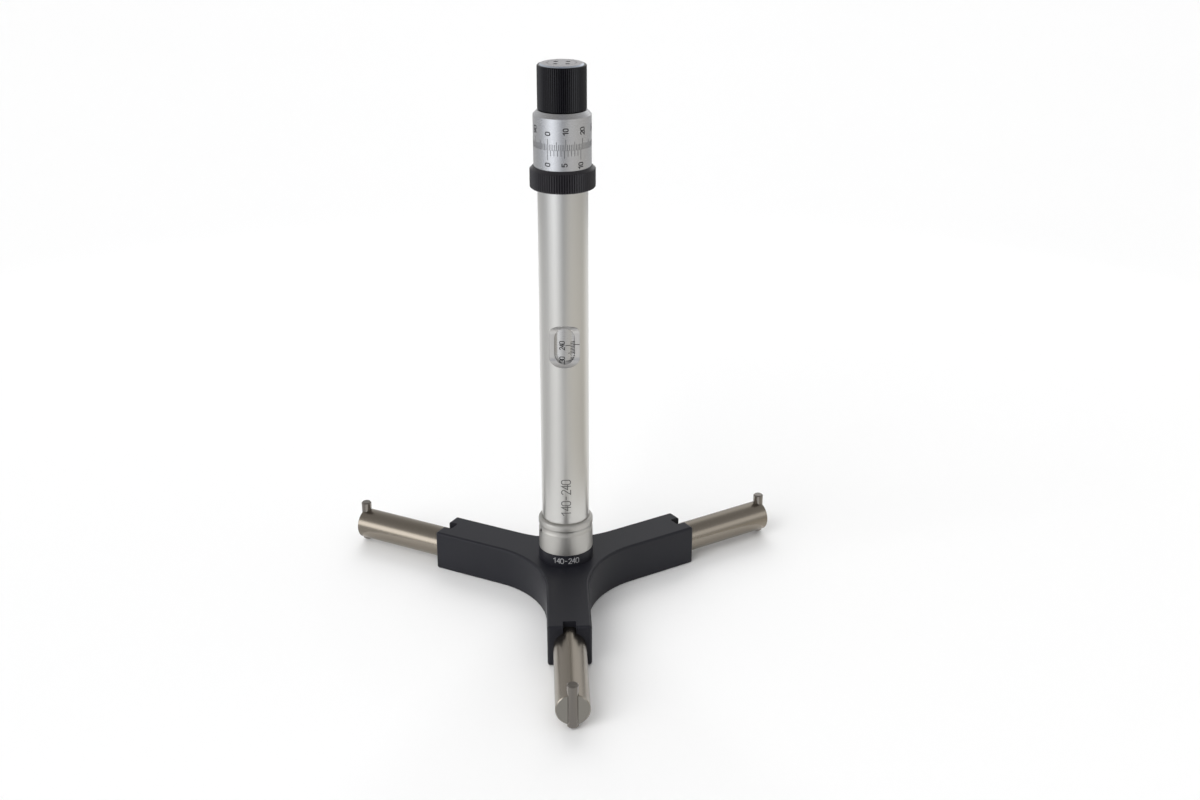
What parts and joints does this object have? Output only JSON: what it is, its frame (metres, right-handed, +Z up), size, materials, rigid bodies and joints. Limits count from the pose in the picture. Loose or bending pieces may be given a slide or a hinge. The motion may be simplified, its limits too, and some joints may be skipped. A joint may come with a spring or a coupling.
{
  "type": "inside micrometer",
  "caption": "Inside micrometer on a black Y-shaped head: radial rods with contact pins, an upright tube with scale window, vernier, graduated drum and knurled ratchet knob.",
  "frame": {"origin": "on the column axis in the flat underside of the head", "axes": "+Z up along the column axis; the window faces -Y and the front arm points along -Y; +X to the right as seen from the window side"},
  "size_m": [0.2126, 0.1856, 0.2567],
  "materials": {
    "body_black": "satin black",
    "grip_black": "satin black over straight knurling",
    "rod_steel": "ground and polished",
    "pin_steel": "ground",
    "tube_chrome": "satin chrome, finely drawn",
    "collar_chrome": "satin chrome, turned",
    "sleeve_chrome": "satin chrome with dark graduations",
    "drum_chrome": "satin chrome with dark graduations",
    "cap_steel": "faced and polished",
    "shaft_steel": "ground",
    "gear_steel": "machined",
    "screw_steel": "dark",
    "spring_steel": "drawn wire",
    "brass": "machined"
  },
  "bodies": {
    "column": {"head_body": "body_black", "shaft_bush_lower": "brass", "shaft_bush_upper": "brass", "tube_collar": "collar_chrome", "collar_screw": "screw_steel", "column_tube": "tube_chrome", "scale_key_screw": "screw_steel", "vernier_sleeve": "drum_chrome", "screw_bush_front": "brass", "screw_bush_right": "brass", "screw_bush_left": "brass", "key_screw_front": "screw_steel", "key_screw_right": "screw_steel", "key_screw_left": "screw_steel"},
    "drive": {"drive_shaft": "shaft_steel", "drive_gear": "gear_steel", "graduated_drum": "drum_chrome", "drum_nut": "screw_steel", "ratchet_wheel": "gear_steel", "spanner_nut": "cap_steel"},
    "knob": {"ratchet_knob": "grip_black", "knob_cap_ring": "cap_steel", "pawl_carrier": "brass", "ratchet_pawl_right": "screw_steel", "ratchet_pawl_left": "screw_steel", "pawl_spring": "spring_steel"},
    "clamp": {"clamp_ring": "grip_black"},
    "scale": {"scale_sleeve": "sleeve_chrome", "scale_nut": "brass"},
    "arm_front": {"arm_rod_front": "rod_steel", "contact_pin_front": "pin_steel", "rod_nut_front": "brass"},
    "screw_front": {"lead_screw_front": "shaft_steel", "bevel_pinion_front": "gear_steel"},
    "arm_right": {"arm_rod_right": "rod_steel", "contact_pin_right": "pin_steel", "rod_nut_right": "brass"},
    "screw_right": {"lead_screw_right": "shaft_steel", "bevel_pinion_right": "gear_steel"},
    "arm_left": {"arm_rod_left": "rod_steel", "contact_pin_left": "pin_steel", "rod_nut_left": "brass"},
    "screw_left": {"lead_screw_left": "shaft_steel", "bevel_pinion_left": "gear_steel"}
  },
  "joints": [
    {"name": "drive_turn", "type": "hinge", "parent": "column", "child": "drive", "pos_m": [0, 0, 0.0096], "axis": [0, 0, 1], "range_deg": [0, 36000]},
    {"name": "scale_slide", "type": "slide", "parent": "column", "child": "scale", "axis": [0, 0, 1], "range_m": [0, 0.075]},
    {"name": "knob_slip", "type": "hinge", "parent": "drive", "child": "knob", "pos_m": [0, 0, 0.25], "axis": [0, 0, 1], "continuous": true},
    {"name": "clamp_turn", "type": "hinge", "parent": "column", "child": "clamp", "pos_m": [0, 0, 0.205], "axis": [0, 0, 1], "range_deg": [0, 60]},
    {"name": "arm_front_slide", "type": "slide", "parent": "column", "child": "arm_front", "axis": [0, -1, 0], "range_m": [-0.05, 0]},
    {"name": "screw_front_turn", "type": "hinge", "parent": "column", "child": "screw_front", "pos_m": [0, 0, 0.0096], "axis": [0, -1, 0], "range_deg": [-36000, 0]},
    {"name": "arm_right_slide", "type": "slide", "parent": "column", "child": "arm_right", "axis": [0.866, 0.5, 0], "range_m": [-0.05, 0]},
    {"name": "screw_right_turn", "type": "hinge", "parent": "column", "child": "screw_right", "pos_m": [0, 0, 0.0096], "axis": [0.866, 0.5, 0], "range_deg": [-36000, 0]},
    {"name": "arm_left_slide", "type": "slide", "parent": "column", "child": "arm_left", "axis": [-0.866, 0.5, 0], "range_m": [-0.05, 0]},
    {"name": "screw_left_turn", "type": "hinge", "parent": "column", "child": "screw_left", "pos_m": [0, 0, 0.0096], "axis": [-0.866, 0.5, 0], "range_deg": [-36000, 0]}
  ],
  "couplings": [
    {"joint": "scale_slide", "follows": "drive_turn", "m_per_rad": 0.00011937},
    {"joint": "arm_front_slide", "follows": "drive_turn", "m_per_rad": -0.000079577},
    {"joint": "screw_front_turn", "follows": "drive_turn", "ratio": -1},
    {"joint": "arm_right_slide", "follows": "drive_turn", "m_per_rad": -0.000079577},
    {"joint": "screw_right_turn", "follows": "drive_turn", "ratio": -1},
    {"joint": "arm_left_slide", "follows": "drive_turn", "m_per_rad": -0.000079577},
    {"joint": "screw_left_turn", "follows": "drive_turn", "ratio": -1}
  ]
}
